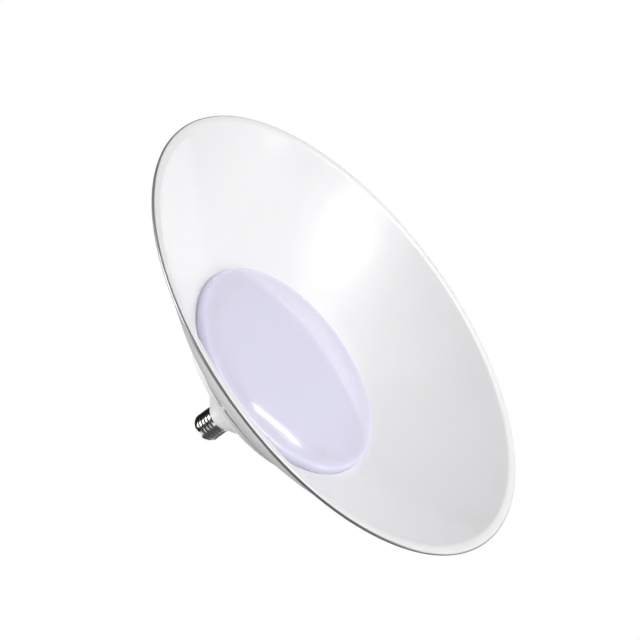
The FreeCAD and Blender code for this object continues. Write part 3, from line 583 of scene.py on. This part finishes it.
def room_tone_group():
    """The room's own light from side to side: black on one hand, grey on the other."""
    tree, given, result = group("room_tone", [("Vector", "Vector", None)], [("Color", "Color")])
    across = node(tree, "SeparateXYZ", {0: given.outputs["Vector"]}).outputs["Y"]
    level = node(tree, "MapRange", {"Value": across, "From Min": 0.4, "From Max": -2.0,
                                    "To Min": 0.01, "To Max": 0.14}).outputs["Result"]
    grey = node(tree, "CombineColor", {0: level, 1: level, 2: level})
    tree.links.new(grey.outputs[0], result.inputs["Color"])
    return tree


def dark_room():
    """The dark studio round the lamp, which only gloss and metal show."""
    shape = bmesh.new()
    bmesh.ops.create_uvsphere(shape, u_segments=48, v_segments=24, radius=2.4)
    bmesh.ops.reverse_faces(shape, faces=list(shape.faces))
    wall = finish("dark_room_wall", (0.01, 0.01, 0.01), 0.1, 0.9, 0.05, 2.0, grain=20.0,
                  grain_depth=0.02, Emission_Strength=1.0)
    item = stage_piece("dark_room", shape, wall)
    tree = item.data.materials[0].node_tree
    tone = node(tree, "Group", node_tree=room_tone_group())
    tree.links.new(node(tree, "TexCoord").outputs["Object"], tone.inputs["Vector"])
    tree.links.new(tone.outputs["Color"], tree.nodes["Principled BSDF"].inputs["Emission Color"])
    item.visible_camera = False
    item.visible_diffuse = False
    item.visible_shadow = False
    item.visible_transmission = False


def stage_piece(name, shape, material):
    """Something that belongs to the studio and not to the lamp."""
    mesh = bpy.data.meshes.new(name)
    shape.to_mesh(mesh)
    shape.free()
    mesh.materials.append(material)
    item = bpy.data.objects.new(name, mesh)
    bpy.context.scene.collection.objects.link(item)
    return item


def plain_floor():
    """A pale floor with the lamp's shadow, white further out and clear from below."""
    shape = bmesh.new()
    bmesh.ops.create_grid(shape, x_segments=1, y_segments=1, size=4)
    bmesh.ops.translate(shape, verts=list(shape.verts), vec=(0, 0, FLOOR))
    pale = finish("pale_floor", (0.72, 0.72, 0.73), 0.01, 0.7, 0.05, 3.0, grain=60.0,
                  grain_depth=0.02, Emission_Color=(1, 1, 1, 1))
    item = stage_piece("studio_floor", shape, pale)
    item.visible_glossy = False
    tree = item.data.materials[0].node_tree
    surface = tree.nodes["Principled BSDF"]
    away = node(tree, "VectorMath", {0: node(tree, "TexCoord").outputs["Object"]}, operation="LENGTH")
    glow = node(tree, "MapRange", {"Value": away.outputs["Value"], "From Min": 1.3, "From Max": 3.2,
                                   "To Min": 0.62, "To Max": 1.0}).outputs["Result"]
    seen = node(tree, "Math", {0: node(tree, "LightPath").outputs["Is Camera Ray"], 1: glow},
                operation="MULTIPLY")
    tree.links.new(seen.outputs[0], surface.inputs["Emission Strength"])
    under = tree.nodes.new("ShaderNodeMixShader")
    tree.links.new(node(tree, "NewGeometry").outputs["Backfacing"], under.inputs[0])
    tree.links.new(surface.outputs[0], under.inputs[1])
    tree.links.new(node(tree, "BsdfTransparent").outputs[0], under.inputs[2])
    tree.links.new(under.outputs[0], tree.nodes["Material Output"].inputs["Surface"])


def white_surround():
    """A dim world for light that cameras, gloss and clear things see as white."""
    world = bpy.data.worlds.new("white_studio")
    bpy.context.scene.world = world
    world.use_nodes = True
    tree = world.node_tree
    light = tree.nodes["Background"]
    light.inputs["Color"].default_value = (1, 1, 1, 1)
    light.inputs["Strength"].default_value = 0.03
    white = node(tree, "Background", {"Color": (1, 1, 1, 1), "Strength": 1.0})
    rays = node(tree, "LightPath")
    seen = node(tree, "Math", {0: rays.outputs["Is Camera Ray"], 1: rays.outputs["Is Glossy Ray"]},
                operation="MAXIMUM").outputs[0]
    seen = node(tree, "Math", {0: seen, 1: rays.outputs["Is Transmission Ray"]},
                operation="MAXIMUM").outputs[0]
    blend = tree.nodes.new("ShaderNodeMixShader")
    tree.links.new(seen, blend.inputs[0])
    tree.links.new(light.outputs[0], blend.inputs[1])
    tree.links.new(white.outputs[0], blend.inputs[2])
    tree.links.new(blend.outputs[0], tree.nodes["World Output"].inputs["Surface"])


def soft_light(name, place, size, power, breadth=None, roll=0, mirrored=True):
    """A light turned at the shade: round, or a strip of some breadth, rolled by degrees.

    One that isn't mirrored doesn't show in what is glossy.
    """
    shade_middle = Vector((0, 0, -0.1))
    lamp = bpy.data.lights.new(name, "AREA")
    lamp.shape = "RECTANGLE" if breadth else "DISK"
    lamp.size = size
    if breadth:
        lamp.size_y = breadth
    lamp.energy = power
    item = bpy.data.objects.new(name, lamp)
    item.location = place
    item.visible_glossy = mirrored
    facing = (shade_middle - Vector(place)).to_track_quat("-Z", "Y")
    item.rotation_euler = (facing @ Quaternion((0, 0, 1), math.radians(roll))).to_euler()
    bpy.context.scene.collection.objects.link(item)


def camera():
    """The photograph's view: from under the rim, with the cap pointing away."""
    lens = bpy.data.cameras.new("view")
    lens.lens = 69.5
    lens.sensor_width = 36
    lens.shift_x, lens.shift_y = -0.0009, -0.0006
    item = bpy.data.objects.new("view", lens)
    right, up, back = (Vector((-0.39952, -0.59088, -0.70089)), Vector((-0.27539, 0.80661, -0.52302)),
                       Vector((0.87439, -0.01594, -0.48497)))
    facing = Matrix((right, up, back)).transposed().to_4x4()
    item.matrix_world = (Matrix.Rotation(math.radians(-2.4), 4, "Z")
                         @ Matrix.Translation((0.88414, 0, -0.62741)) @ facing)
    bpy.context.scene.collection.objects.link(item)
    bpy.context.scene.camera = item


plain_floor()
dark_room()
white_surround()
soft_light("side_key", (0.98, 1.17, 0.39), 1.1, 25)
soft_light("top", (0.05, 0, 1.5), 0.9, 6.5)
soft_light("low_side", (-0.66, -1.29, -0.78), 0.8, 6)
soft_light("low_front", (0.02, -0.37, -1.08), 0.42, 1.9)
soft_light("low_front_edge", (0.02, -0.37, -1.085), 0.72, 2.0)
soft_light("straight_below", (0.03, 0, -1.08), 0.9, 1.7)
soft_light("back_fill", (-0.73, -0.73, 1.13), 0.9, 3.3)
soft_light("front_fill", (0.99, -0.27, 1.13), 0.8, 2.8)
soft_light("low_back", (-0.42, 0.02, -1.08), 0.6, 2.9)
soft_light("strip", (-1.05, -0.09, -1.08), 0.22, 0.2, breadth=0.02, roll=31)
soft_light("side_fill", (0.2, -1.4, 0.6), 1.0, 4.5, mirrored=False)
camera()
bpy.context.scene.view_settings.view_transform = "Standard"
